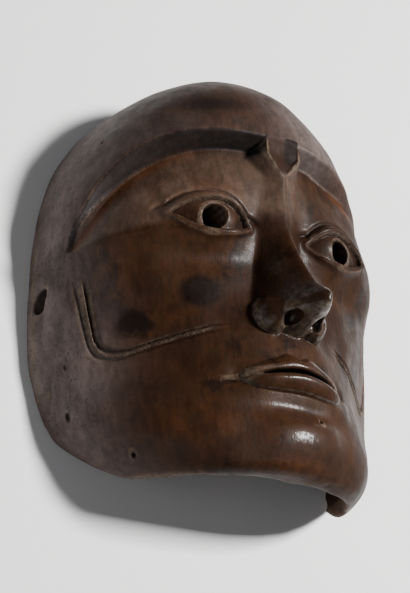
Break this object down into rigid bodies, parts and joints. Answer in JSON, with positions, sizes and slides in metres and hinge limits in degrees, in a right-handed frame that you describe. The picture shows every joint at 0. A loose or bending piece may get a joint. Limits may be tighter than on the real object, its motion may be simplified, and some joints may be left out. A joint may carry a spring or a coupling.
{
  "type": "carved wooden face mask",
  "caption": "Carved dark wooden face mask, hollow behind and open below, with a smooth cap ending in a ledge, pierced eyes and mouth, and tie holes at the sides.",
  "frame": {"origin": "on the surface it lies on, under the middle of its bounding box", "axes": "+Z out of the face, away from the back rim it lies on; +Y towards the forehead; +X towards the mask's left eye"},
  "size_m": [0.184, 0.2196, 0.1],
  "materials": {
    "dark_wood": "waxed dark patina, worn on the arrises"
  },
  "bodies": {
    "root": {"carved_mask": "dark_wood"}
  },
  "joints": []
}
